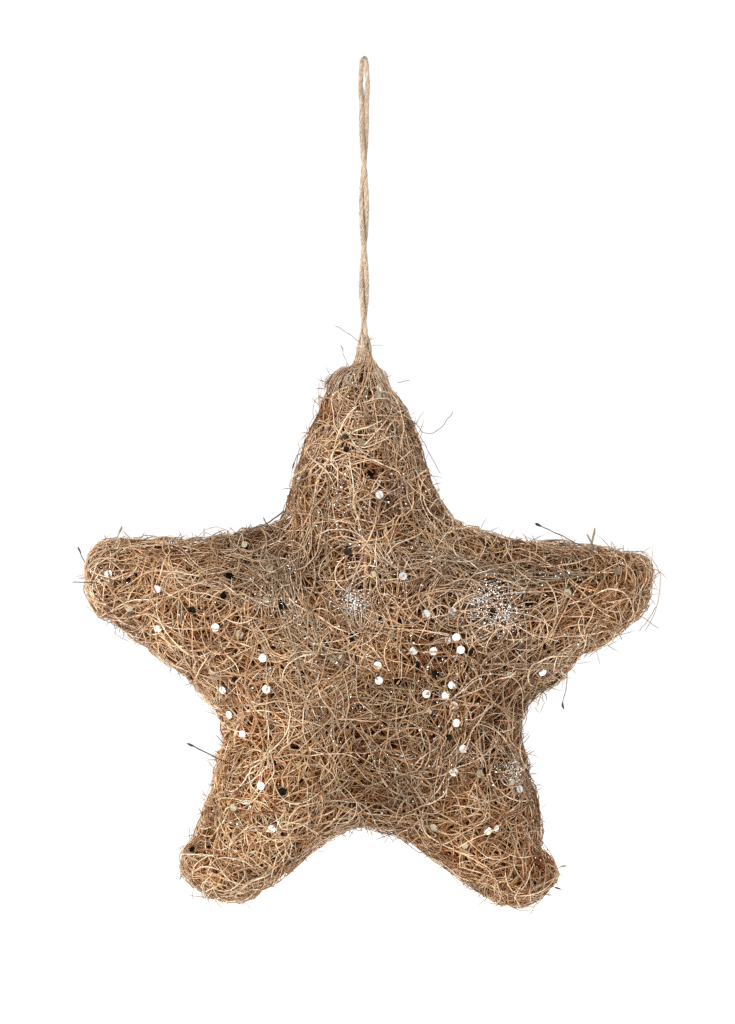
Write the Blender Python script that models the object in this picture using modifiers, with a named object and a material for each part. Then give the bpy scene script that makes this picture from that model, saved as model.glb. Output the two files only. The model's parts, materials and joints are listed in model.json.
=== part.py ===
"""Hanging star ornament of tangled dry grass.

A puffy five-armed star, a short neck of grass gathered round the cord at its top arm, a doubled loop
of jute twine that the star hangs from, and round foil sequins caught on the grass.
Metres, +Z up. The front faces -Y and the top of the loop is the origin.
"""
import math
import random

import bmesh
import bpy
from mathutils import Matrix, Vector, noise
from mathutils.bvhtree import BVHTree

# Star, seen from the front
ARM_REACH = 0.1095
ARM_TIP_HALF_WIDTH = 0.0160
ARM_ROOT_HALF_WIDTH = 0.0485
VALLEY_SHARPNESS = 7.0
# How far the top arm's end lies to the left of the cord
TOP_ARM_OFFSET = 0.0022
# Each arm: direction in degrees, then its shares of the reach, the tip's and the root's half width
ARMS = {
    "top": (92.0, 0.965, 0.96, 1.000),
    "right": (14.0, 1.000, 0.975, 1.015),
    "low_right": (304.0, 1.015, 0.99, 1.000),
    "low_left": (236.5, 0.980, 1.11, 0.855),
    "left": (163.5, 0.995, 1.01, 0.985),
}

# Star, seen from the side
MIDDLE_THICKNESS = 0.056
TIP_THICKNESS = 0.034

# The lumps and hollows of a hand-wound mass: how high they stand and how far apart they are
LUMP_HEIGHT = 0.0018
LUMP_SPACING = 0.021
STAR_SEGMENTS = 96
STAR_RINGS = 32
OUTLINE_HALVINGS = 24
# Draws the segments together at the arms' ends, where the outline bends most
TIP_CROWDING = 0.09

# Neck of grass round the cord
NECK_HEIGHT = 0.0076
NECK_RIM = 0.00035
NECK_FOOT_RADIUS = 0.0072
NECK_SINK = 0.0004
NECK_ROOT_DEPTH = 0.0090
NECK_ROOT_RADIUS = 0.0050
NECK_STEPS = 20
NECK_PROFILE_STEPS = 5
MERGE_DISTANCE = 0.00005

# Jute loop: two legs twisted round each other below a small open eye
LOOP_HEIGHT = 0.1073
CORD_DIAMETER = 0.0017
EYE_RADIUS = 0.0038
EYE_TAPER = 0.0110
TWIST_START = math.radians(104.5)
TWIST_RATE = math.radians(4100)
TWIST_GAIN = math.radians(16500)
LEG_POINTS = 15
EYE_POINTS = 5
CORD_POINTS = 57
CORD_FINE_STEPS = 24
CORD_SIDES_RESOLUTION = 2

# Gap that touching pieces keep
GAP = 0.0003

# Sequins: flat round foil discs
SEQUIN_DIAMETER = 0.0030
SEQUIN_THICKNESS = 0.0003
SEQUIN_SIDES = 12
SEQUIN_LEAN = math.radians(8)
SEQUIN_SEED = 11
# Where each lies on the front: direction in degrees, share of the way from the middle to the edge
SILVER_SPOTS = (
    (163, 0.91), (163, 0.74), (173, 0.80), (170, 0.54), (182, 0.51), (199, 0.64), (194, 0.87), (204, 0.91),
    (213, 0.82), (231, 0.59), (241, 0.69), (86, 0.57), (66, 0.48), (35, 0.36), (27, 0.40), (5, 0.17),
    (3, 0.26), (11, 0.30), (3, 0.37), (312, 0.05), (293, 0.11), (332, 0.49), (340, 0.52), (326, 0.36),
    (329, 0.54), (322, 0.53), (315, 0.53), (306, 0.48), (354, 0.88), (304, 0.70), (318, 0.88),
)
CHAMPAGNE_SPOTS = (
    (169, 0.84), (157, 0.71), (139, 0.71), (171, 0.46), (229, 0.73), (88, 0.91), (17, 0.70), (18, 0.89),
    (313, 0.60), (291, 0.78),
)
SMOKED_SPOTS = (
    (96, 0.76), (89, 0.63), (101, 0.40), (166, 0.61), (238, 0.55), (151, 0.41), (344, 0.40), (1, 0.44),
)
# The back has fewer, along a spiral from the first share of the way out to the last
BACK_SEQUINS = 8
BACK_SHARES = (0.30, 0.85)
GOLDEN_TURN = math.radians(137.5)

# Finishes: base colour, roughness, metallic
GRASS_FINISH = ((0.45, 0.30, 0.15, 1.0), 0.75, 0.0)
JUTE_FINISH = ((0.62, 0.48, 0.32, 1.0), 0.85, 0.0)
SILVER_FINISH = ((0.90, 0.90, 0.88, 1.0), 0.18, 1.0)
CHAMPAGNE_FINISH = ((0.62, 0.56, 0.42, 1.0), 0.28, 1.0)
SMOKED_FINISH = ((0.10, 0.09, 0.08, 1.0), 0.22, 1.0)

# Sizes and places worked out from the ones above: the cord's legs touch, and the neck's top holds both
LEG_SPACING = CORD_DIAMETER + GAP
NECK_TOP_RADIUS = (LEG_SPACING + CORD_DIAMETER) / 2 + NECK_RIM
TOP_TIP_RADIUS = ARM_TIP_HALF_WIDTH * ARMS["top"][2]
NECK_FOOT_DEPTH = TOP_TIP_RADIUS - math.sqrt(TOP_TIP_RADIUS ** 2 - NECK_FOOT_RADIUS ** 2) + NECK_SINK
STAR_TOP_Z = -LOOP_HEIGHT - NECK_HEIGHT
TOP_DIRECTION = math.radians(ARMS["top"][0])
TOP_REACH = ARM_REACH * ARMS["top"][1]
STAR_MIDDLE_X = -TOP_ARM_OFFSET - TOP_REACH * math.cos(TOP_DIRECTION)
STAR_MIDDLE_Z = STAR_TOP_Z - TOP_REACH * math.sin(TOP_DIRECTION)


def start_scene():
    for thing in list(bpy.data.objects):
        bpy.data.objects.remove(thing, do_unlink=True)
    groups = []
    for name in ("grass star ornament", "cutters"):
        group = bpy.data.collections.new(name)
        bpy.context.scene.collection.children.link(group)
        groups.append(group)
    return groups


def make_finish(name, finish):
    colour, roughness, metallic = finish
    material = bpy.data.materials.new(name)
    material.use_nodes = True
    shader = material.node_tree.nodes["Principled BSDF"]
    shader.inputs["Base Color"].default_value = colour
    shader.inputs["Roughness"].default_value = roughness
    shader.inputs["Metallic"].default_value = metallic
    return material


def add_object(name, data, group, material=None):
    thing = bpy.data.objects.new(name, data)
    group.objects.link(thing)
    if material:
        data.materials.append(material)
    return thing


def distance_in_half_widths(point, arm):
    """Distance of a point from an arm's middle line, in half widths of the arm at that place."""
    direction, reach_share, tip_share, root_share = arm
    axis = Vector((math.cos(math.radians(direction)), math.sin(math.radians(direction))))
    tip = ARM_TIP_HALF_WIDTH * tip_share
    root = ARM_ROOT_HALF_WIDTH * root_share
    line = ARM_REACH * reach_share - tip
    along = min(max(point.dot(axis), 0), line)
    half_width = root + (tip - root) * along / line
    return (point - axis * along).length / half_width


def edge_share(point):
    """0 along the arms' middle lines and 1 on the star's outline, with the valleys filled out."""
    nearness = sum(math.exp(-VALLEY_SHARPNESS * distance_in_half_widths(point, arm)) for arm in ARMS.values())
    return max(-math.log(nearness) / VALLEY_SHARPNESS, 0)


def edge_radius(angle):
    """Distance from the star's middle to its outline in one direction."""
    ray = Vector((math.cos(angle), math.sin(angle)))
    inside, outside = 0.0, ARM_REACH * 2
    for _halving in range(OUTLINE_HALVINGS):
        middle = (inside + outside) / 2
        if edge_share(ray * middle) < 1:
            inside = middle
        else:
            outside = middle
    return inside


def half_thickness(point):
    """Half the star's thickness over a point of its plane: puffy, thinner towards the arms' ends."""
    out = min(point.length / ARM_REACH, 1)
    falling = out * out * (3 - 2 * out)
    full = (MIDDLE_THICKNESS + (TIP_THICKNESS - MIDDLE_THICKNESS) * falling) / 2
    return full * math.sqrt(max(1 - edge_share(point) ** 2, 0))


def crowded_angle(angle):
    """Turns evenly spaced directions into ones that stand closer together at the arms' ends."""
    return angle - TIP_CROWDING * math.sin(len(ARMS) * (angle - TOP_DIRECTION))


def shape_star(mesh):
    """Maps a unit sphere with its poles at the front and the back on to the star."""
    for vertex in mesh.verts:
        across, deep, up = vertex.co
        angle = crowded_angle(math.atan2(up, across))
        out = edge_radius(angle) * math.hypot(across, up)
        flat = Vector((math.cos(angle), math.sin(angle))) * out
        vertex.co = Vector((flat.x, math.copysign(half_thickness(flat), deep), flat.y))
    mesh.normal_update()
    for vertex, outward in [(vertex, vertex.normal.copy()) for vertex in mesh.verts]:
        vertex.co += outward * (LUMP_HEIGHT * noise.noise(vertex.co / LUMP_SPACING))


def neck_profile():
    """The neck's outer side from its top face down, as (radius, height over the star's end)."""
    points = [(0, NECK_HEIGHT)]
    for step in range(NECK_PROFILE_STEPS + 1):
        down = step / NECK_PROFILE_STEPS
        radius = NECK_TOP_RADIUS + (NECK_FOOT_RADIUS - NECK_TOP_RADIUS) * down * down
        points.append((radius, NECK_HEIGHT - (NECK_HEIGHT + NECK_FOOT_DEPTH) * down))
    points.append((NECK_ROOT_RADIUS, -NECK_ROOT_DEPTH))
    points.append((0, -NECK_ROOT_DEPTH))
    return points


def make_neck(cutters):
    """Turned cone of gathered grass, which the star takes in."""
    profile = [Vector((radius, 0, STAR_TOP_Z + height)) for radius, height in neck_profile()]
    data = bpy.data.meshes.new("neck")
    data.from_pydata(profile, [(i, i + 1) for i in range(len(profile) - 1)], [])
    neck = add_object("neck", data, cutters)
    turn = neck.modifiers.new("turn", "SCREW")
    turn.axis = "Z"
    turn.steps = turn.render_steps = NECK_STEPS
    turn.use_merge_vertices = True
    turn.merge_threshold = MERGE_DISTANCE
    neck.hide_render = True
    neck.display_type = "WIRE"
    return neck


def make_star(group, cutters):
    mesh = bmesh.new()
    bmesh.ops.create_uvsphere(mesh, u_segments=STAR_SEGMENTS, v_segments=STAR_RINGS, radius=1)
    bmesh.ops.rotate(mesh, verts=mesh.verts, matrix=Matrix.Rotation(math.radians(90), 3, "X"))
    shape_star(mesh)
    bmesh.ops.translate(mesh, verts=mesh.verts, vec=(STAR_MIDDLE_X, 0, STAR_MIDDLE_Z))
    bmesh.ops.recalc_face_normals(mesh, faces=mesh.faces)
    surface = BVHTree.FromBMesh(mesh)
    data = bpy.data.meshes.new("grass_star")
    mesh.to_mesh(data)
    mesh.free()
    data.shade_smooth()
    star = add_object("grass_star", data, group, make_finish("grass", GRASS_FINISH))
    union = star.modifiers.new("neck", "BOOLEAN")
    union.operation = "UNION"
    union.solver = "EXACT"
    union.object = make_neck(cutters)
    return surface


def leg_point(down, side):
    """A point of one leg of the loop, at a distance below the eye's middle."""
    closing = (1 + math.cos(math.pi * min(down / EYE_TAPER, 1))) / 2
    half_spacing = LEG_SPACING / 2 + (EYE_RADIUS - LEG_SPACING / 2) * closing
    turn = TWIST_START + TWIST_RATE * down + TWIST_GAIN * down * down
    height = -CORD_DIAMETER / 2 - EYE_RADIUS - down
    return Vector((math.cos(turn), math.sin(turn), 0)) * (side * half_spacing) + Vector((0, 0, height))


def loop_route():
    """The cord's route: up one leg, round the eye, down the other, ending a gap above the neck."""
    leg_length = LOOP_HEIGHT - CORD_DIAMETER / 2 - EYE_RADIUS - GAP
    heights = [leg_length * step / LEG_POINTS for step in range(LEG_POINTS + 1)]
    rising = [leg_point(down, 1) for down in reversed(heights)]
    falling = [leg_point(down, -1) for down in heights]
    across = Vector((math.cos(TWIST_START), math.sin(TWIST_START), 0)) * EYE_RADIUS
    middle = Vector((0, 0, -CORD_DIAMETER / 2 - EYE_RADIUS))
    eye = []
    for step in range(1, EYE_POINTS + 1):
        angle = math.pi * step / (EYE_POINTS + 1)
        eye.append(middle + across * math.cos(angle) + Vector((0, 0, EYE_RADIUS * math.sin(angle))))
    return rising + eye + falling


def smooth_points(route, count):
    """Points at even steps along a smooth curve through the route's own points."""
    padded = [route[0] * 2 - route[1]] + route + [route[-1] * 2 - route[-2]]
    fine = []
    for i in range(1, len(padded) - 2):
        a, b, c, d = padded[i - 1:i + 3]
        for step in range(CORD_FINE_STEPS):
            t = step / CORD_FINE_STEPS
            fine.append(0.5 * (2 * b + (c - a) * t + (2 * a - 5 * b + 4 * c - d) * t * t
                               + (3 * b - a - 3 * c + d) * t ** 3))
    fine.append(route[-1])
    travelled = [0.0]
    for before, after in zip(fine, fine[1:]):
        travelled.append(travelled[-1] + (after - before).length)
    points = []
    place = 0
    for number in range(count):
        wanted = travelled[-1] * number / (count - 1)
        while place < len(fine) - 2 and travelled[place + 1] < wanted:
            place += 1
        share = (wanted - travelled[place]) / (travelled[place + 1] - travelled[place])
        points.append(fine[place].lerp(fine[place + 1], share))
    return points


def make_loop(group):
    curve = bpy.data.curves.new("jute_loop", "CURVE")
    curve.dimensions = "3D"
    curve.bevel_depth = CORD_DIAMETER / 2
    curve.bevel_resolution = CORD_SIDES_RESOLUTION
    curve.render_resolution_u = 0
    curve.use_fill_caps = True
    points = smooth_points(loop_route(), CORD_POINTS)
    spline = curve.splines.new("POLY")
    spline.points.add(len(points) - 1)
    for spot, point in zip(spline.points, points):
        spot.co = (*point, 1)
    add_object("jute_loop", curve, group, make_finish("jute", JUTE_FINISH))


def sequin_mesh(name):
    mesh = bmesh.new()
    radius = SEQUIN_DIAMETER / 2
    bmesh.ops.create_cone(mesh, cap_ends=True, segments=SEQUIN_SIDES, radius1=radius, radius2=radius,
                          depth=SEQUIN_THICKNESS)
    data = bpy.data.meshes.new(name)
    mesh.to_mesh(data)
    mesh.free()
    return data


def sequin_place(direction, share, side, surface, lean):
    """Lays a sequin on the star: side is -1 for the front and 1 for the back."""
    out = edge_radius(direction) * share
    across = STAR_MIDDLE_X + out * math.cos(direction)
    up = STAR_MIDDLE_Z + out * math.sin(direction)
    start = Vector((across, side * MIDDLE_THICKNESS, up))
    hit, outward, _face, _distance = surface.ray_cast(start, Vector((0, -side, 0)))
    lift = GAP + (SEQUIN_DIAMETER * math.sin(abs(lean)) + SEQUIN_THICKNESS) / 2
    turn = outward.to_track_quat("Z", "Y").to_matrix().to_4x4()
    return Matrix.Translation(hit + outward * lift) @ turn @ Matrix.Rotation(lean, 4, "X")


def back_spots():
    first, last = BACK_SHARES
    for number in range(BACK_SEQUINS):
        yield number * GOLDEN_TURN, first + (last - first) * number / (BACK_SEQUINS - 1)


def make_sequins(group, surface):
    chance = random.Random(SEQUIN_SEED)
    finishes = (
        ("silver_foil", SILVER_FINISH, SILVER_SPOTS),
        ("champagne_foil", CHAMPAGNE_FINISH, CHAMPAGNE_SPOTS),
        ("smoked_foil", SMOKED_FINISH, SMOKED_SPOTS),
    )
    kinds = []
    places = []
    for name, finish, spots in finishes:
        data = sequin_mesh(name)
        data.materials.append(make_finish(name, finish))
        kinds.append(data)
        places += [(data, math.radians(direction), share, -1) for direction, share in spots]
    for number, (direction, share) in enumerate(back_spots()):
        places.append((kinds[number % len(kinds)], direction, share, 1))
    for number, (data, direction, share, side) in enumerate(places, start=1):
        lean = chance.uniform(-SEQUIN_LEAN, SEQUIN_LEAN)
        sequin = add_object(f"sequin_{number:02d}", data, group)
        sequin.matrix_world = sequin_place(direction, share, side, surface, lean)


def main():
    ornament, cutters = start_scene()
    surface = make_star(ornament, cutters)
    make_loop(ornament)
    make_sequins(ornament, surface)


main()
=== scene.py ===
import json
import math

import bmesh
import bpy
import numpy as np
from mathutils import Matrix, Vector, noise
from mathutils.bvhtree import BVHTree
from mathutils.kdtree import KDTree


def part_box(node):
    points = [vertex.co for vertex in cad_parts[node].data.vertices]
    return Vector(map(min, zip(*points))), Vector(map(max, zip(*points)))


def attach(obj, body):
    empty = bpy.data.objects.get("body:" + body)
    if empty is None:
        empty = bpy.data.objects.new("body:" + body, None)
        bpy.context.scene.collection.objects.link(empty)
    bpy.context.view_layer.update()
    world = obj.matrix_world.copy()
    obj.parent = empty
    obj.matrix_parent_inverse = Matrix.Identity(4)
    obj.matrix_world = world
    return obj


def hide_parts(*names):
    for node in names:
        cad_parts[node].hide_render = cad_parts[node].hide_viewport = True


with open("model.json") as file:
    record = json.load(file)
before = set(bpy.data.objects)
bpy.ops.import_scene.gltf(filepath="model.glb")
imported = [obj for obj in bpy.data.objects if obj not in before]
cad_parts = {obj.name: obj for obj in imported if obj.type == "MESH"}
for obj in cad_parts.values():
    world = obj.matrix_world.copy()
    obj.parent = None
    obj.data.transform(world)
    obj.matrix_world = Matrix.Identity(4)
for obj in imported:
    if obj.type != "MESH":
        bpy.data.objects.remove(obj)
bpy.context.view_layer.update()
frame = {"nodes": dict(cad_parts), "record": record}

BODY = "root"

# The photograph's frame, and the cord's top in it
PIXEL = 0.00037
FRAME_WIDTH, FRAME_HEIGHT = 735, 1024
CORD_COLUMN, CORD_ROW = 364, 56

# Camera, lights and floor
LENS = 135
SENSOR = 36
# Soft lights: place, power, size and colour
LIGHTS = {
    "key_light": ((-0.75, -1.0, 0.55), 17.6, 0.6, (1, 0.985, 0.96)),
    "fill_light": ((1.0, -0.9, 0.05), 3.0, 1.4, (1, 1, 1)),
    "back_light": ((0.5, 1.2, 0.7), 8.0, 1.0, (1, 1, 1)),
}
LIGHTS_AIM_ROW = 640
SKY_COLOUR = (1, 0.99, 0.97)
SKY_LIGHT = 0.50
BACKDROP_GLOW = 1.05
FLOOR_HEIGHT = -0.42
FLOOR_SIZE = 9.0
FLOOR_GLOW = 0.60

# Jute loop, along the same route as the frame's solid one
CORD_DIAMETER = 0.0017
LOOP_HEIGHT = 0.1073
GAP = 0.0003
EYE_RADIUS = 0.0038
EYE_TAPER = 0.0110
LEG_SPACING = CORD_DIAMETER + GAP
TWIST_START = math.radians(104.5)
TWIST_RATE = math.radians(4100)
TWIST_GAIN = math.radians(16500)
LEG_POINTS = 15
EYE_POINTS = 5
YARNS = 8
YARN_RADIUS = 0.00028
YARN_PITCH = 0.0105
YARN_CIRCLE = 0.00065
YARN_CORE_RADIUS = 0.00056
CORD_STEP = 0.0007
CORD_SEED = 31
# How the yarns stray from an even lay: how much, and over what length
YARN_WANDER = (0.25, 0.0040)
CIRCLE_WAVER = (0.08, 0.0031)
YARN_WAVER = (0.12, 0.0052)
YARN_SHADING = (0.10, 0.0083)
# Painted shade that darkens the top of the eye: how much, from what height, and over what rise
EYE_SHADE = (0.40, -0.0030, 0.0026)
# Hairs of the cord, and the fibres between its legs
HAIR_COUNT = 170
HAIR_LENGTH = (0.0010, 0.0032)
HAIR_RADIUS = 0.00004
HAIR_FOOT = 0.0007
HAIR_SEED = 32
BETWEEN_FIBRES = 60
BETWEEN_LENGTH = (0.010, 0.018)
BETWEEN_RADIUS = (0.00016, 0.00026)
BETWEEN_END = LOOP_HEIGHT - 0.022

# Neck of grass round the cord, as the frame's star has it
NECK_TOP = -LOOP_HEIGHT
NECK_FOOT = -0.1171
NECK_TOP_RADIUS = 0.0022
NECK_FOOT_RADIUS = 0.0072
NECK_STRANDS = 210
NECK_STEP = 0.0026
NECK_LIFT = 0.0004
# How far below the neck's foot the wound strands keep, and where the longer neck strands fan out, as an
# angle seen from above
NECK_CLEARING = 0.0022
NECK_FAN = math.radians(-60)

# Wound grass from the inside out: its heights over the star's skin, metres of strand, step between
# points, half widths, and red, green and blue factors of painted shade: darker and redder deeper in,
# a little lighter on top
WINDINGS = {
    "packed_strands": ((-0.0062, -0.0040), 56, 0.0044, (0.00034, 0.00048), (0.50, 0.24, 0.085)),
    "inner_winding": ((-0.0044, -0.0024), 84, 0.0038, (0.00028, 0.00042), (0.68, 0.40, 0.18)),
    "middle_winding": ((-0.0027, -0.0009), 88, 0.0032, (0.00023, 0.00036), (0.86, 0.66, 0.42)),
    "outer_winding": ((-0.0013, 0.0002), 80, 0.0027, (0.00019, 0.00031), (0.98, 0.91, 0.80)),
    "top_winding": ((-0.0006, 0.0009), 76, 0.0025, (0.00016, 0.00028), (1.04, 1.04, 1.02)),
}
OUTER_WINDINGS = ("middle_winding", "outer_winding", "top_winding")
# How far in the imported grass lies, on the star and at its neck
CORE_DEPTH = 0.0064
NECK_CORE_DEPTH = 0.0015
# The share of strands at the front, strands in a bundle, a strand's sides, steps between two points of
# a smooth line, and the merging distances
FRONT_SHARE = 0.60
BUNDLE = 6
STRAND_SIDES = 3
CURVE_STEPS = 20
WELD = 0.000001
SKIN_WELD = 0.00001
GRASS_SEED = 20
# A wound strand's usual length in the inner and in the outer windings, how it varies, and its limits
INNER_LENGTH = 0.045
OUTER_LENGTH = 0.030
LENGTH_SPREAD = 0.55
LENGTH_LIMITS = (0.011, 0.100)
LENGTHS_DRAWN = 14000
# Curl of a bundle, in radians a metre, and how common each is; then a strand's own curl, its start
# beside its bundle's, and its shading along its length
CURLS = (26, 60, 110)
CURL_SHARES = (0.45, 0.38, 0.17)
STRAND_CURL = 18
BUNDLE_SPREAD = 0.0026
STRAND_SHADING = (0.10, 0.0090)
# How much dust a strand holds, and how common each is
DUST_HELD = (0.3, 0.7, 1.3)
DUST_SHARES = (0.55, 0.33, 0.12)
# Waves of a strand's path, and how much of its wandering it keeps from step to step
WAVE_LENGTH = (0.010, 0.034)
WANDERING_KEPT = 0.8
# Small hollows that the strands go round: how many, their radii, and how hard they push
HOLLOWS = 900
HOLLOW_RADIUS = (0.0010, 0.0028)
HOLLOW_PUSH = 0.9
# Lumps of the wound surface: how high, how far apart
LUMPS = ((0.0014, 0.0130), (0.0009, 0.0060))
# Below the neck's foot, how soon the lumps and the changes of the outline reach their full height
LUMPS_FADE = 0.006
OUTLINE_FADE = 0.002
# Strands that stand off the surface as arcs or with one end, and short fibres
LOOSE_STRANDS = 1400
LOOSE_STEP = 0.0022
LOOSE_ARC = (0.0006, 0.0026)
LOOSE_END = (0.0008, 0.0040)
LOOSE_RADIUS = (0.00010, 0.00024)
FIBRES = 2200
FIBRE_LENGTH = (0.0020, 0.0070)
FIBRE_RADIUS = (0.00007, 0.00017)
DARK_FIBRES = 0.22

# Grass in daylight (sRGB, 0 to 255), and how common each colour is
GRASS_COLOURS = (
    ((234, 214, 192), 0.22),
    ((215, 184, 152), 0.26),
    ((194, 156, 120), 0.21),
    ((186, 164, 136), 0.13),
    ((152, 108, 70), 0.12),
    ((140, 86, 54), 0.06),
)
JUTE_COLOUR = (199, 183, 165)
TWIG_COLOUR = (74, 60, 48)
GREY_COLOUR = (160, 144, 124)
# Parts that differ from the rest, partly in the grass's own tone and partly by painted light and shade, such
# as the lighter left arm and the darker low middle: pixel column and row, radius, how much lighter, how much
# greyer
REGIONS = (
    (140, 590, 75, 0.13, 0.10),
    (230, 830, 85, 0.24, 0.10),
    (230, 690, 60, 0.18, 0.00),
    (370, 440, 80, 0.01, 0.06),
    (270, 560, 45, -0.27, 0.10),
    (480, 590, 100, -0.05, 0.10),
    (600, 580, 80, 0.01, 0.05),
    (360, 760, 70, -0.36, -0.05),
    (500, 840, 70, 0.03, 0.00),
    (340, 600, 60, 0.05, 0.12),
    (330, 480, 40, 0.08, -0.05),
    (285, 790, 40, 0.12, -0.20),
    (370, 660, 40, 0.00, -0.20),
)
# Where glitter dust fell: pixel column and row, radius, strength
DUSTED = (
    (354, 600, 13, 0.9),
    (497, 600, 20, 0.9),
    (512, 770, 17, 0.7),
    (450, 600, 95, 0.22),
    (370, 480, 75, 0.20),
    (330, 640, 90, 0.16),
    (440, 730, 110, 0.20),
    (560, 580, 60, 0.18),
    (150, 580, 60, 0.12),
    (240, 800, 70, 0.12),
)
# Flakes on the strands, how much they crowd where the dust is thick, and their size
GLITTER_FLAKES = 3000
GLITTER_CROWDING = 1.6
GLITTER_RADIUS = (0.00016, 0.00042)
FLAKES_AT_ONCE = 100
# Clusters of glitter on the front, tight and loose: pixel column and row, radius, number of flakes
CLUSTERS = (
    (354, 600, 9, 150),
    (488, 590, 12, 150),
    (502, 612, 15, 220),
    (478, 606, 10, 90),
    (512, 770, 11, 120),
    (330, 462, 14, 30),
    (372, 430, 22, 40),
    (268, 600, 16, 40),
    (345, 530, 30, 50),
    (440, 760, 30, 50),
    (112, 578, 18, 45),
    (352, 388, 16, 40),
    (568, 586, 26, 50),
    (246, 812, 34, 70),
    (290, 655, 26, 60),
    (320, 715, 26, 40),
    (425, 640, 40, 70),
    (455, 690, 30, 60),
    (400, 490, 28, 45),
    (338, 505, 16, 30),
)

# Places where the outline stands out further or lies further in than the solid's: pixel column and
# row, radius, and metres outward
OUTLINE = (
    (393, 382, 13, -0.0020),
    (418, 432, 14, 0.0028),
    (450, 515, 26, -0.0022),
    (277, 512, 18, -0.0040),
    (315, 415, 14, -0.0012),
    (160, 536, 22, -0.0014),
    (216, 725, 20, -0.0024),
    (209, 780, 16, -0.0022),
    (196, 820, 14, -0.0018),
    (185, 866, 16, 0.0034),
    (212, 896, 12, 0.0018),
    (360, 829, 16, 0.0026),
    (653, 596, 14, -0.0020),
    (630, 630, 16, -0.0018),
    (582, 664, 12, -0.0026),
    (648, 561, 12, 0.0022),
    (90, 556, 12, 0.0020),
    (527, 735, 20, -0.0016),
    (546, 845, 11, -0.0028),
    (556, 874, 9, 0.0022),
)

# Foils: darker and lighter colour, roughness, how metallic, and how deep the crinkles are
FOILS = {
    "silver_foil": ((0.90, 0.90, 0.89), (0.98, 0.98, 0.97), 0.26, 0.75, 0.0004),
    "champagne_foil": ((0.30, 0.27, 0.18), (0.52, 0.47, 0.34), 0.34, 1.0, 0.0002),
    "smoked_foil": ((0.004, 0.004, 0.003), (0.016, 0.014, 0.012), 0.24, 1.0, 0.0001),
}

# Sequins beside the frame's own: pixel column and row of each
SEQUIN_RADIUS = 0.0014
SEQUIN_THICKNESS = 0.0002
SEQUIN_LIFT = 0.0007
SEQUIN_LEAN = math.radians(24)
SEQUIN_SEED = 51
# Round each sequin the grass keeps low, out to this far, and is as high as elsewhere past the easing
SEQUIN_CLEARING = 0.0022
SEQUIN_EASING = 0.0040
MORE_SEQUINS = {
    "champagne": (
        (246, 545), (268, 598), (342, 655), (352, 386), (362, 443), (373, 573), (391, 632), (427, 708),
        (532, 568), (507, 672), (509, 779), (464, 841),
    ),
    "smoked": (
        (352, 638), (226, 594), (231, 576), (237, 676), (399, 620), (465, 665), (397, 678), (416, 661),
        (447, 734), (491, 612), (525, 602), (488, 786), (483, 767), (530, 861), (194, 848), (347, 450),
    ),
    "silver": ((494, 824), (446, 638)),
}

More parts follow.
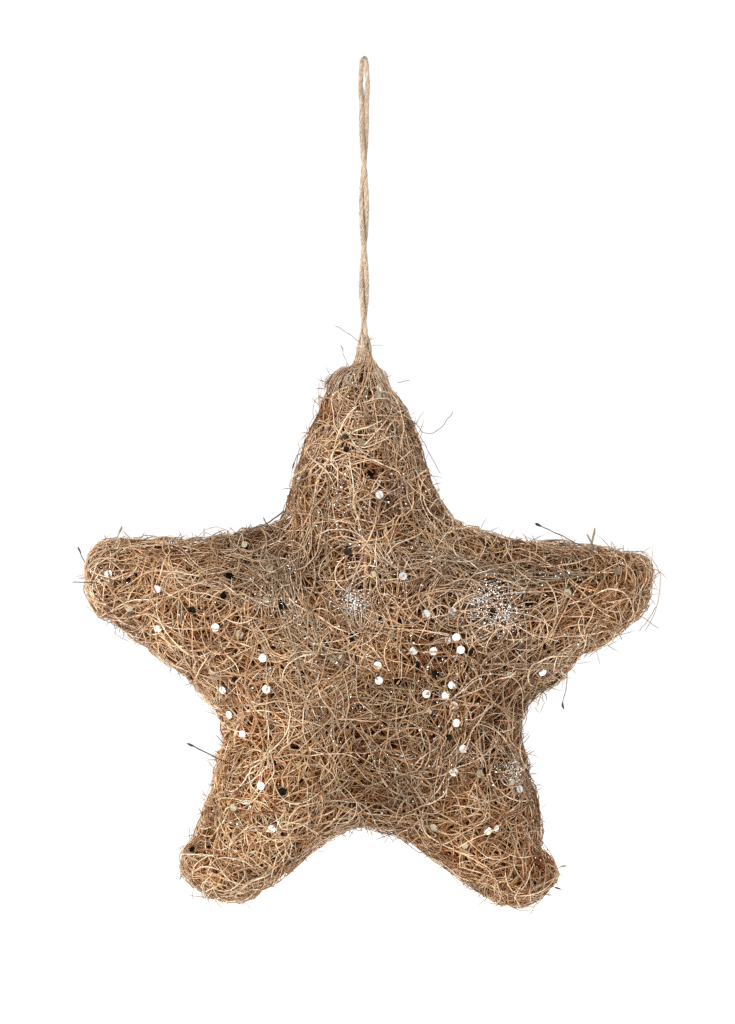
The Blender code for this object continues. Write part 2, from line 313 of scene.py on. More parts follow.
# Single strands, twigs and spikes that leave the outline: colour, half width, size of the bead at the
# end as a multiple of it, and the pixels it passes
STRAYS = (
    ("straw", 0.00032, 1, ((371, 356), (369, 370), (365, 386), (357, 404), (351, 418), (346, 433))),
    ("straw", 0.00026, 1, ((373, 360), (369, 378), (360, 396), (353, 412), (343, 428), (339, 440))),
    ("straw", 0.00026, 1, ((368, 364), (371, 388), (374, 404), (377, 424), (376, 446))),
    ("straw", 0.00024, 1, ((372, 362), (379, 384), (386, 402), (392, 416), (402, 428))),
    ("straw", 0.00024, 1, ((374, 364), (384, 384), (394, 404), (403, 428), (410, 452))),
    ("straw", 0.00022, 1, ((366, 362), (363, 384), (360, 402), (364, 424), (371, 440))),
    ("straw", 0.00024, 1, ((372, 358), (381, 376), (393, 392), (404, 412), (413, 436))),
    ("straw", 0.00022, 1, ((364, 360), (357, 378), (345, 398), (338, 420), (340, 440))),
    ("twig", 0.00013, 1, ((408, 428), (415, 424), (423, 433), (435, 432), (447, 420), (453, 411))),
    ("twig", 0.00012, 1, ((416, 430), (421, 437), (428, 450), (441, 475))),
    ("straw", 0.00045, 1, ((408, 482), (418, 476), (428, 469))),
    ("twig", 0.00030, 1, ((232, 536), (245, 531), (264, 525), (275, 518), (286, 510))),
    ("twig", 0.00026, 1, ((264, 516), (268, 524), (276, 534))),
    ("twig", 0.00020, 3, ((590, 549), (577, 544), (556, 533), (534, 523))),
    ("twig", 0.00022, 2, ((505, 548), (513, 543), (521, 540))),
    ("grey", 0.00040, 1, ((588, 552), (591, 541), (594, 527))),
    ("grey", 0.00034, 1, ((596, 552), (590, 542), (586, 533))),
    ("straw", 0.00016, 1, ((640, 552), (651, 558), (659, 572), (660, 588), (655, 612), (644, 632))),
    ("twig", 0.00012, 1, ((636, 614), (646, 620), (659, 629))),
    ("twig", 0.00012, 1, ((638, 632), (648, 620), (656, 606))),
    ("straw", 0.00014, 1, ((588, 640), (594, 650), (598, 664))),
    ("twig", 0.00016, 3, ((566, 668), (566, 682), (562, 700), (563, 709))),
    ("straw", 0.00013, 1, ((534, 700), (540, 697), (544, 704), (539, 712), (534, 706))),
    ("twig", 0.00024, 2, ((232, 762), (217, 755), (203, 748), (188, 741))),
    ("grey", 0.00016, 3, ((540, 872), (552, 868), (566, 863))),
    ("twig", 0.00013, 3, ((536, 880), (550, 884), (561, 888))),
    ("grey", 0.00014, 2, ((534, 888), (543, 893), (553, 895))),
    ("twig", 0.00020, 2, ((96, 572), (87, 565), (82, 556), (78, 546))),
    ("twig", 0.00018, 1, ((100, 581), (86, 582), (74, 582))),
    ("grey", 0.00020, 2, ((112, 545), (118, 538), (124, 525))),
    ("straw", 0.00014, 1, ((196, 538), (206, 530), (218, 527), (228, 531), (233, 538))),
    ("straw", 0.00012, 1, ((150, 545), (160, 538), (171, 536), (178, 542))),
    ("straw", 0.00013, 1, ((112, 630), (121, 638), (130, 641))),
    ("straw", 0.00012, 1, ((150, 650), (157, 656), (161, 663))),
    ("twig", 0.00011, 1, ((360, 343), (352, 336), (343, 330), (334, 325))),
    ("grey", 0.00012, 2, ((350, 368), (345, 358), (343, 350), (340, 345))),
    ("grey", 0.00011, 1, ((322, 398), (315, 400), (313, 408), (314, 420))),
    ("twig", 0.00012, 1, ((396, 383), (402, 382), (411, 380))),
    ("twig", 0.00016, 2, ((302, 452), (296, 457), (292, 470))),
    ("straw", 0.00013, 1, ((196, 858), (186, 852), (179, 846))),
    ("grey", 0.00016, 2, ((192, 872), (183, 874), (179, 880))),
    ("straw", 0.00012, 1, ((470, 884), (478, 894), (486, 900))),
    ("straw", 0.00012, 1, ((368, 838), (374, 828), (384, 824))),
)
# Tinselled strands that lie over the front in a band: how many side by side, half width of the band
# in pixels, half width of a strand, and the pixels they pass
TINSELLED = (
    (2, 1.0, 0.00016, ((333, 424), (331, 452), (331, 482), (333, 520), (334, 562))),
    (8, 11.0, 0.00018, ((268, 548), (274, 572), (286, 607), (299, 650), (309, 691), (317, 734))),
    (7, 7.0, 0.00018, ((286, 560), (296, 590), (310, 622), (330, 650), (352, 668))),
    (8, 10.0, 0.00017, ((425, 540), (460, 560), (500, 572), (548, 578), (590, 574))),
    (4, 3.0, 0.00016, ((522, 700), (516, 730), (512, 764), (516, 800))),
    (4, 3.0, 0.00016, ((205, 800), (226, 812), (252, 820), (280, 818))),
    (3, 3.0, 0.00016, ((392, 500), (410, 470), (424, 452))),
)


def linear(colour):
    """Linear RGB of an sRGB colour given in 0 to 255."""
    shares = np.asarray(colour, float) / 255
    return np.where(shares <= 0.04045, shares / 12.92, ((shares + 0.055) / 1.055) ** 2.4)


def from_photo(column, row, depth=0.0):
    """The point seen at a pixel of the photograph, at a depth along Y."""
    return Vector(((column - CORD_COLUMN) * PIXEL, depth, (CORD_ROW - row) * PIXEL))


def photo_columns(points):
    """Pixel columns and rows of an array of points, seen from the front."""
    return points[:, 0] / PIXEL + CORD_COLUMN, CORD_ROW - points[:, 2] / PIXEL


def nearness(columns, rows, column, row, radius):
    """How near pixels are to a spot: 1 on it, less past its radius."""
    return np.exp(-((columns - column) ** 2 + (rows - row) ** 2) / (2 * radius ** 2))


def unit(vectors):
    """Vectors brought to a length of one."""
    return vectors / (np.linalg.norm(vectors, axis=-1, keepdims=True) + 1e-9)


def patchiness(points, spacing, shift):
    """Smooth random values, about -1 to 1, that change from place to place."""
    return np.array([noise.noise(place) for place in points / spacing + shift])


def waver(way, kind, shift):
    """A gentle rise and fall along a way: its amount and length, and where it starts."""
    amount, length = kind
    return amount * np.sin(way / length + shift)


def smooth(shape, verts, rounds):
    for _round in range(rounds):
        bmesh.ops.smooth_vert(shape, verts=verts, factor=0.5,
                              use_axis_x=True, use_axis_y=True, use_axis_z=True)


# Camera, lights and floor

def make_camera():
    data = bpy.data.cameras.new("camera")
    data.lens = LENS
    data.sensor_width = SENSOR
    camera = bpy.data.objects.new("camera", data)
    bpy.context.scene.collection.objects.link(camera)
    distance = LENS / SENSOR * FRAME_HEIGHT * PIXEL
    camera.location = from_photo(FRAME_WIDTH / 2, FRAME_HEIGHT / 2, -distance)
    camera.rotation_euler = (math.radians(90), 0, 0)
    bpy.context.scene.camera = camera


def make_light(name, place, power, size, colour):
    """A soft light turned towards the star's middle."""
    data = bpy.data.lights.new(name, "AREA")
    data.energy = power
    data.size = size
    data.color = colour
    light = bpy.data.objects.new(name, data)
    light.location = place
    aim = from_photo(FRAME_WIDTH / 2, LIGHTS_AIM_ROW)
    light.rotation_euler = (aim - Vector(place)).to_track_quat("-Z", "Y").to_euler()
    bpy.context.scene.collection.objects.link(light)


def make_backdrop():
    """A pale sky that lights the star, and plain white behind it."""
    bpy.context.scene.view_settings.view_transform = "Standard"
    world = bpy.data.worlds.new("studio")
    world.use_nodes = True
    bpy.context.scene.world = world
    nodes, links = world.node_tree.nodes, world.node_tree.links
    sky = nodes["Background"]
    sky.inputs["Color"].default_value = (*SKY_COLOUR, 1)
    sky.inputs["Strength"].default_value = SKY_LIGHT
    white = nodes.new("ShaderNodeBackground")
    white.inputs["Color"].default_value = (1, 1, 1, 1)
    white.inputs["Strength"].default_value = BACKDROP_GLOW
    seen = nodes.new("ShaderNodeLightPath")
    choose = nodes.new("ShaderNodeMixShader")
    links.new(seen.outputs["Is Camera Ray"], choose.inputs["Fac"])
    links.new(sky.outputs["Background"], choose.inputs[1])
    links.new(white.outputs["Background"], choose.inputs[2])
    links.new(choose.outputs["Shader"], nodes["World Output"].inputs["Surface"])


def make_floor():
    bpy.ops.mesh.primitive_plane_add(size=FLOOR_SIZE, location=(0, 0, FLOOR_HEIGHT))
    floor = bpy.context.object
    floor.name = "floor"
    material = bpy.data.materials.new("pale_floor")
    material.use_nodes = True
    shader = material.node_tree.nodes["Principled BSDF"]
    shader.inputs["Base Color"].default_value = (0.9, 0.9, 0.9, 1)
    shader.inputs["Roughness"].default_value = 0.9
    shader.inputs["Emission Color"].default_value = (1, 1, 1, 1)
    shader.inputs["Emission Strength"].default_value = FLOOR_GLOW
    floor.data.materials.append(material)


# Materials

class Finish:
    """A material with a Principled shader, and short ways to add and join its nodes."""

    def __init__(self, name, **values):
        self.material = bpy.data.materials.new(name)
        self.material.use_nodes = True
        self.nodes = self.material.node_tree.nodes
        self.links = self.material.node_tree.links
        self.shader = self.nodes["Principled BSDF"]
        for socket, value in values.items():
            self.shader.inputs[socket.replace("_", " ")].default_value = value

    def add(self, kind, **values):
        node = self.nodes.new("ShaderNode" + kind)
        for socket, value in values.items():
            node.inputs[socket.replace("_", " ")].default_value = value
        return node

    def join(self, source, target):
        self.links.new(source, target)

    def colour_from(self, source):
        self.join(source, self.shader.inputs["Base Color"])

    def place(self):
        return self.add("TexCoord").outputs["Object"]

    def attribute(self, name, output):
        node = self.add("Attribute")
        node.attribute_name = name
        return node.outputs[output]

    def noise(self, scale, detail=3.0, roughness=0.6):
        node = self.add("TexNoise", Scale=scale, Detail=detail, Roughness=roughness)
        self.join(self.place(), node.inputs["Vector"])
        return node.outputs["Fac"]

    def ramp(self, source, *stops):
        node = self.add("ValToRGB")
        marks = node.color_ramp.elements
        while len(marks) < len(stops):
            marks.new(0.5)
        for mark, (position, colour) in zip(marks, stops):
            mark.position = position
            mark.color = (*colour, 1)
        self.join(source, node.inputs["Fac"])
        return node.outputs["Color"]

    def calculate(self, operation, first, second):
        node = self.add("Math")
        node.operation = operation
        for source, socket in zip((first, second), node.inputs):
            if isinstance(source, bpy.types.NodeSocket):
                self.join(source, socket)
            else:
                socket.default_value = source
        return node.outputs["Value"]

    def mix(self, share, first, second, kind="MIX"):
        node = self.nodes.new("ShaderNodeMix")
        node.data_type = "RGBA"
        node.blend_type = kind
        colours = [socket for socket in node.inputs if socket.type == "RGBA"]
        if isinstance(share, bpy.types.NodeSocket):
            self.join(share, node.inputs["Factor"])
        else:
            node.inputs["Factor"].default_value = share
        self.join(first, colours[0])
        self.join(second, colours[1])
        return [socket for socket in node.outputs if socket.type == "RGBA"][0]

    def bump(self, source, distance, strength=1.0):
        node = self.add("Bump", Distance=distance, Strength=strength)
        self.join(source, node.inputs["Height"])
        self.join(node.outputs["Normal"], self.shader.inputs["Normal"])


def grass_material():
    """Dry grass: each strand's tint with its painted shade, fine flecks and grooves, silver dust where it
    fell.
    """
    finish = Finish("dry_grass", Roughness=0.55, Specular_IOR_Level=0.28)
    flecks = finish.ramp(finish.noise(900, 4), (0.36, (0.66, 0.54, 0.44)), (0.58, (1.06, 1.04, 1.0)))
    base = finish.mix(1.0, finish.attribute("strand_tint_and_shade", "Color"), flecks, "MULTIPLY")
    cells = finish.add("TexVoronoi", Scale=1250.0)
    finish.join(finish.place(), cells.inputs["Vector"])
    reach = finish.calculate("MULTIPLY", finish.attribute("dusting", "Fac"), 0.46)
    speck = finish.calculate("LESS_THAN", cells.outputs["Distance"], reach)
    dust = finish.ramp(cells.outputs["Color"], (0.2, (0.36, 0.36, 0.37)), (0.75, (0.92, 0.92, 0.90)))
    finish.colour_from(finish.mix(speck, base, dust))
    finish.join(finish.calculate("MULTIPLY", speck, 0.6), finish.shader.inputs["Metallic"])
    finish.bump(finish.noise(2600, 2), 0.00008, 0.7)
    return finish.material


def packed_grass_shade_material():
    """The dense grass below the wound strands, coloured dark and reddish as painted shade of the deep
    hollows.
    """
    finish = Finish("packed_grass", Roughness=0.85, Specular_IOR_Level=0.2)
    # Painted shade: far darker and redder colours than the grass's own, for the shade deep between the
    # strands
    finish.colour_from(finish.ramp(finish.noise(420, 6, 0.7), (0.36, (0.045, 0.014, 0.004)),
                                   (0.52, (0.13, 0.045, 0.014)), (0.68, (0.26, 0.12, 0.045))))
    finish.bump(finish.noise(900, 5), 0.0006)
    return finish.material


def jute_material():
    """Pale jute yarn: each yarn's tint times fine flecks; the brown in the grooves of its twist is painted
    shade on the core yarn.
    """
    finish = Finish("jute_yarn", Roughness=0.80, Specular_IOR_Level=0.2)
    flecks = finish.ramp(finish.noise(1500, 4), (0.34, (0.66, 0.56, 0.46)), (0.6, (1.04, 1.02, 1.0)))
    finish.colour_from(finish.mix(1.0, finish.attribute("strand_tint_and_shade", "Color"), flecks, "MULTIPLY"))
    finish.bump(finish.noise(4200, 3), 0.00006, 0.8)
    return finish.material


def foil_material(name, dark, light, roughness, metallic, crinkle):
    """Thin foil: metallic, with faint clouding and fine crinkles."""
    finish = Finish(name, Metallic=metallic)
    finish.colour_from(finish.ramp(finish.noise(700, 3), (0.35, dark), (0.65, light)))
    span = finish.add("MapRange")
    finish.join(finish.noise(1800, 2), span.inputs["Value"])
    span.inputs["To Min"].default_value = roughness * 0.7
    span.inputs["To Max"].default_value = roughness * 1.4
    finish.join(span.outputs["Result"], finish.shader.inputs["Roughness"])
    finish.bump(finish.noise(500, 2), crinkle, 0.5)
    return finish.material


# Pieces made of strands

def add_piece(name, mesh, material):
    piece = bpy.data.objects.new(name, mesh)
    bpy.context.scene.collection.objects.link(piece)
    mesh.materials.clear()
    mesh.materials.append(material)
    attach(piece, BODY)
    return piece


def strand_profile(sides):
    """The strands' cross-section, a small polygon of radius one."""
    data = bpy.data.curves.new("strand_profile", "CURVE")
    data.dimensions = "2D"
    data.fill_mode = "NONE"
    spline = data.splines.new("POLY")
    spline.points.add(sides - 1)
    for number, point in enumerate(spline.points):
        angle = -math.tau * number / sides
        point.co = (math.cos(angle), math.sin(angle), 0, 1)
    spline.use_cyclic_u = True
    profile = bpy.data.objects.new("strand_profile", data)
    bpy.context.scene.collection.objects.link(profile)
    return profile


def strand_mesh(name, strands, sides=STRAND_SIDES):
    """One mesh of many strands, each with pointed, closed ends.

    A strand is its points, its radii, its tints and the dust on it, each point by point.
    """
    curve = bpy.data.curves.new(name, "CURVE")
    curve.dimensions = "3D"
    curve.bevel_mode = "OBJECT"
    curve.bevel_object = strand_profile(sides)
    curve.use_fill_caps = False
    for points, radii, _tints, _dust in strands:
        spline = curve.splines.new("POLY")
        spline.points.add(len(points) - 1)
        spline.points.foreach_set("co", np.column_stack([points, np.ones(len(points))]).ravel())
        spline.points.foreach_set("radius", np.concatenate([[0], radii[1:-1], [0]]))
    holder = bpy.data.objects.new(name, curve)
    bpy.context.scene.collection.objects.link(holder)
    graph = bpy.context.evaluated_depsgraph_get()
    mesh = bpy.data.meshes.new_from_object(holder.evaluated_get(graph))
    tints = np.repeat(np.concatenate([strand[2] for strand in strands]), sides, axis=0)
    dust = np.repeat(np.concatenate([strand[3] for strand in strands]), sides)
    rgba = np.column_stack([np.clip(tints, 0, 1), np.ones(len(tints))])
    mesh.attributes.new("strand_tint_and_shade", "FLOAT_COLOR", "POINT").data.foreach_set("color", rgba.ravel())
    mesh.attributes.new("dusting", "FLOAT", "POINT").data.foreach_set("value", dust)
    bpy.data.objects.remove(curve.bevel_object)
    bpy.data.objects.remove(holder)
    shape = bmesh.new()
    shape.from_mesh(mesh)
    bmesh.ops.remove_doubles(shape, verts=shape.verts, dist=WELD)
    if shape.calc_volume(signed=True) < 0:
        bmesh.ops.reverse_faces(shape, faces=shape.faces)
    shape.to_mesh(mesh)
    shape.free()
    mesh.shade_smooth()
    return mesh


def plain_strand(points, radius, colour, dust=0.0):
    """A strand of one width and one colour."""
    size = len(points)
    tints = np.repeat(np.asarray(colour)[None, :], size, axis=0)
    return points, np.full(size, radius), tints, np.full(size, dust)


def smooth_line(route, spacing):
    """Evenly spaced points along a smooth curve through a route's own points."""
    route = [Vector(point) for point in route]
    padded = [route[0] * 2 - route[1]] + route + [route[-1] * 2 - route[-2]]
    fine = []
    for i in range(1, len(padded) - 2):
        a, b, c, d = padded[i - 1:i + 3]
        for step in range(CURVE_STEPS):
            t = step / CURVE_STEPS
            fine.append(0.5 * (2 * b + (c - a) * t + (2 * a - 5 * b + 4 * c - d) * t * t
                               + (3 * b - a - 3 * c + d) * t ** 3))
    fine.append(route[-1])
    fine = np.array(fine)
    travelled = np.concatenate([[0], np.cumsum(np.linalg.norm(np.diff(fine, axis=0), axis=1))])
    wanted = np.linspace(0, travelled[-1], max(int(travelled[-1] / spacing), 4) + 1)
    return np.column_stack([np.interp(wanted, travelled, fine[:, axis]) for axis in range(3)])


# Jute loop

def leg_point(down, side):
    """A point of one leg of the loop, at a distance below the eye's middle."""
    closing = (1 + math.cos(math.pi * min(down / EYE_TAPER, 1))) / 2
    half_spacing = LEG_SPACING / 2 + (EYE_RADIUS - LEG_SPACING / 2) * closing
    turn = TWIST_START + TWIST_RATE * down + TWIST_GAIN * down * down
    height = -CORD_DIAMETER / 2 - EYE_RADIUS - down
    return Vector((math.cos(turn), math.sin(turn), 0)) * (side * half_spacing) + Vector((0, 0, height))


def loop_route():
    """The cord's route: up one leg, round the eye, down the other, ending a gap above the neck."""
    leg_length = LOOP_HEIGHT - CORD_DIAMETER / 2 - EYE_RADIUS - GAP
    heights = [leg_length * step / LEG_POINTS for step in range(LEG_POINTS + 1)]
    rising = [leg_point(down, 1) for down in reversed(heights)]
    falling = [leg_point(down, -1) for down in heights]
    across = Vector((math.cos(TWIST_START), math.sin(TWIST_START), 0)) * EYE_RADIUS
    middle = Vector((0, 0, -CORD_DIAMETER / 2 - EYE_RADIUS))
    eye = []
    for step in range(1, EYE_POINTS + 1):
        angle = math.pi * step / (EYE_POINTS + 1)
        eye.append(middle + across * math.cos(angle) + Vector((0, 0, EYE_RADIUS * math.sin(angle))))
    return rising + eye + falling


def carried_frames(line):
    """Two directions square to a line at each of its points, turning as little as they can."""
    tangents = unit(np.gradient(line, axis=0))
    side = np.cross(tangents[0], (0.2, 0.9, 0.1))
    sides = []
    for tangent in tangents:
        side = unit(side - tangent * np.dot(side, tangent))
        sides.append(side)
    sides = np.array(sides)
    return sides, np.cross(tangents, sides)


def make_cord(material):
    """Yarns laid side by side round a core yarn in a long twist, all along the loop."""
    rng = np.random.default_rng(CORD_SEED)
    line = smooth_line(loop_route(), CORD_STEP)
    sides, ups = carried_frames(line)
    colour = linear(JUTE_COLOUR)
    way = np.arange(len(line)) * CORD_STEP
    shade, shade_foot, shade_rise = EYE_SHADE
    # Painted shade, darker towards the top of the eye
    eye_shade_painted = 1 - shade * np.clip((line[:, 2] - shade_foot) / shade_rise, 0, 1)
    none = np.zeros(len(line))
    # The core yarn, seen only in the grooves between the outer yarns, is given half the colour as painted
    # shade
    strands = [(line, none + YARN_CORE_RADIUS, colour * 0.5 * eye_shade_painted[:, None], none)]
    for yarn in range(YARNS):
        angle = math.tau * (yarn / YARNS + way / YARN_PITCH) + waver(way, YARN_WANDER, yarn)
        circle = YARN_CIRCLE * (1 + waver(way, CIRCLE_WAVER, yarn * 1.7))
        points = line + (sides * np.cos(angle)[:, None] + ups * np.sin(angle)[:, None]) * circle[:, None]
        radii = YARN_RADIUS * (1 + waver(way, YARN_WAVER, yarn * 2.3))
        light = rng.normal(1, 0.13) * (1 + waver(way, YARN_SHADING, yarn * 1.3)) * eye_shade_painted
        strands.append((points, radii, colour * light[:, None], none))
    piece = add_piece("jute_twine", strand_mesh("jute_twine", strands, 5), material)
    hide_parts("jute_loop")
    return line, sides, ups


def fibres_between_legs(rng):
    """Loose fibres that fill the groove between the loop's two twisted legs."""
    strands = []
    for _fibre in range(BETWEEN_FIBRES):
        start = rng.uniform(EYE_TAPER * 0.6, BETWEEN_END)
        downs = np.linspace(start, start + rng.uniform(*BETWEEN_LENGTH), 12)
        across = rng.uniform(-0.35, 0.35)
        aside = rng.uniform(-0.00055, 0.00055)
        points = []
        for down in downs:
            leg = leg_point(down, 1)
            square = Vector((-leg.y, leg.x, 0)).normalized()
            points.append(Vector((leg.x * across, leg.y * across, leg.z)) + square * aside)
        colour = linear(JUTE_COLOUR) * rng.uniform(0.55, 0.95)
        strands.append(plain_strand(np.array(points), rng.uniform(*BETWEEN_RADIUS), colour))
    return strands


def make_hairs(line, sides, ups, material):
    """Fine jute fibres that stand out of the cord."""
    rng = np.random.default_rng(HAIR_SEED)
    strands = []
    for _hair in range(HAIR_COUNT):
        at = rng.integers(2, len(line) - 3)
        angle = rng.uniform(0, math.tau)
        out = sides[at] * math.cos(angle) + ups[at] * math.sin(angle)
        along = unit(line[at + 1] - line[at]) * rng.choice([-1, 1])
        length = rng.uniform(*HAIR_LENGTH)
        way = np.linspace(0, 1, 5)[:, None]
        lift = rng.uniform(0.15, 0.60) * length * way ** 1.6
        points = line[at] + out * (HAIR_FOOT + lift) + along * length * way
        strands.append(plain_strand(points, HAIR_RADIUS, linear(JUTE_COLOUR) * 0.8))
    strands += fibres_between_legs(rng)
    add_piece("jute_hairs", strand_mesh("jute_hairs", strands), material)


# The star's skin, which the strands follow

class Skin:
    """The solid star's surface, smoothed and with the small lumps of a winding."""

    def __init__(self, sequins):
        self.shape = bmesh.new()
        self.shape.from_mesh(frame["nodes"]["grass_star"].data)
        bmesh.ops.remove_doubles(self.shape, verts=self.shape.verts, dist=SKIN_WELD)
        bmesh.ops.triangulate(self.shape, faces=self.shape.faces)
        bmesh.ops.subdivide_edges(self.shape, edges=self.shape.edges, cuts=1, use_grid_fill=True)
        body = [vertex for vertex in self.shape.verts if vertex.co.z < NECK_FOOT]
        smooth(self.shape, body, 4)
        self.shape.normal_update()
        outward = [vertex.normal.copy() for vertex in body]
        for vertex, normal in zip(body, outward):
            _place, _index, distance = sequins.find(vertex.co)
            share = min(max((distance - SEQUIN_CLEARING) / SEQUIN_EASING, 0), 1)
            below_neck = NECK_FOOT - vertex.co.z
            stand = sum(height * noise.noise(vertex.co / spacing) for height, spacing in LUMPS)
            stand *= min(below_neck / LUMPS_FADE, 1)
            stand += self.outline_change(vertex.co) * min(below_neck / OUTLINE_FADE, 1)
            vertex.co += normal * (stand * share)
        bmesh.ops.triangulate(self.shape, faces=self.shape.faces)
        self.tree = BVHTree.FromBMesh(self.shape)
        self.centres = np.array([face.calc_center_median() for face in self.shape.faces])
        self.normals = np.array([face.normal for face in self.shape.faces])
        self.areas = np.array([face.calc_area() for face in self.shape.faces])

    def outline_change(self, place):
        """How much further out than the solid's surface the grass stands at a place."""
        column, row = place.x / PIXEL + CORD_COLUMN, CORD_ROW - place.z / PIXEL
        change = 0
        for middle, height, radius, outward in OUTLINE:
            apart = (column - middle) ** 2 + (row - height) ** 2
            change += outward * math.exp(-apart / (2 * radius ** 2))
        return change

    def pick(self, rng, count, front_share=FRONT_SHARE, edge_weight=1.0):
        """Random places on the skin, with more of them at the front or round the outline."""
        weights = self.areas * np.where(self.normals[:, 1] < 0, front_share, 1 - front_share)
        weights = weights * (1 + (edge_weight - 1) * (1 - np.abs(self.normals[:, 1])))
        picked = rng.choice(len(self.centres), size=count, p=weights / weights.sum())
        return self.centres[picked] + rng.normal(0, 0.0006, (count, 3)), self.normals[picked]

    def front(self, column, row):
        """The skin's front at a pixel, with its normal; the point is None beside the star."""
        start = from_photo(column, row, -0.1)
        hit, normal, _index, _distance = self.tree.ray_cast(start, Vector((0, 1, 0)))
        return hit, normal

    def walk(self, rng, starts, headings, bends, counts, step, hollows=None, drift=26, swing=64):
        """Walks strands over the skin. Gives each one's points on it and the normals there."""
        total = len(starts)
        feet = starts.copy()
        headings = headings.copy()
        waves = rng.uniform(*WAVE_LENGTH, total)
        phases = rng.uniform(0, math.tau, total)
        swings = rng.normal(0, swing, total)
        wandering = np.zeros(total)
        normals = np.zeros((total, 3))
        paths = [[] for _strand in range(total)]
        active = np.arange(total)
        for stride in range(int(counts.max())):
            active = active[counts[active] > stride]
            for strand in active:
                feet[strand], normals[strand], _index, _distance = self.tree.find_nearest(feet[strand])
            outward = normals[active]
            ways = headings[active]
            ways = unit(ways - outward * np.sum(ways * outward, axis=1, keepdims=True))
            wandering[active] = wandering[active] * WANDERING_KEPT + rng.normal(0, drift, len(active))
            bend = bends[active] + wandering[active]
            bend += swings[active] * np.sin(math.tau * stride * step / waves[active] + phases[active])
            turn = (bend * step)[:, None]
            ways = ways * np.cos(turn) + np.cross(outward, ways) * np.sin(turn)
            if hollows:
                ways = round_hollows(feet[active], ways, step, hollows)
            headings[active] = ways
            for strand in active:
                paths[strand].append((feet[strand].copy(), normals[strand].copy()))
            feet[active] += ways * step
        return [[np.array(part) for part in zip(*path)] for path in paths]


def round_hollows(feet, ways, step, hollows):
    """Turns strands aside where their next step would lead into a hollow."""
    centres, radii = hollows
    for strand, foot in enumerate(feet):
        ahead = foot + ways[strand] * step
        middle, index, distance = centres.find(ahead)
        if distance < radii[index]:
            aside = (ahead - middle) / (distance + 1e-6)
            ways[strand] += aside * (1 - distance / radii[index]) * HOLLOW_PUSH
    return unit(ways)


def spot_tree(points):
    """A tree that finds the spot nearest to a place."""
    tree = KDTree(len(points))
    for number, point in enumerate(points):
        tree.insert(point, number)
    tree.balance()
    return tree


def grass_colour(rng):
    """One of the grass's colours, picked as often as it is common."""
    shares = [share for _colour, share in GRASS_COLOURS]
    return linear(GRASS_COLOURS[rng.choice(len(shares), p=shares)][0])


def placed_tints(points, base, light):
    """A strand's colour along its points, changed by where on the star they are."""
    columns, rows = photo_columns(points)
    lift = 0.25 * patchiness(points, 0.014, 3.0)
    grey = 0.10 + 0.25 * patchiness(points, 0.022, 11.0)
    # Partly painted light and shade: some regions are made lighter or darker as the light falls on them
    for column, row, radius, lighter, greyer in REGIONS:
        share = nearness(columns, rows, column, row, radius)
        lift += lighter * share
        grey += greyer * share
    tints = base[None, :] * (light * (1 + lift))[:, None]
    mean = tints.mean(axis=1, keepdims=True) * np.array([1.24, 0.96, 0.74])
    grey = np.clip(grey, -0.25, 0.6)[:, None]
    return tints * (1 - grey) + mean * grey


def dust_at(points, normals):
    """How much glitter dust lies at points: most of it on the front, a little on the back."""
    columns, rows = photo_columns(points)
    dust = np.full(len(points), 0.04)
    for column, row, radius, strength in DUSTED:
        dust += strength * nearness(columns, rows, column, row, radius)
    return np.clip(dust, 0, 1) * np.where(normals[:, 1] < 0.15, 1.0, 0.3)


def first_headings(rng, normals, owner):
    """Directions along the skin: one for each bundle, and small differences inside it."""
    across = unit(np.cross(normals, (0.31, 0.17, 0.93)))
    along = np.cross(normals, across)
    angles = rng.uniform(0, math.tau, owner.max() + 1)[owner] + rng.normal(0, 0.26, len(owner))
    return across * np.cos(angles)[:, None] + along * np.sin(angles)[:, None]


def keep_sequins_clear(feet, height, sequins, over):
    """Lets strands dip under the sequins, so that the discs lie on the grass; a few go over them."""
    for place, foot in enumerate(feet):
        _spot, _index, distance = sequins.find(foot)
        if distance < SEQUIN_CLEARING:
            if over:
                height[place] = max(height[place], 0.0015)
            else:
                height[place] = min(height[place], max(distance - 0.0010, 0) * 1.3 - 0.0003)
    return height


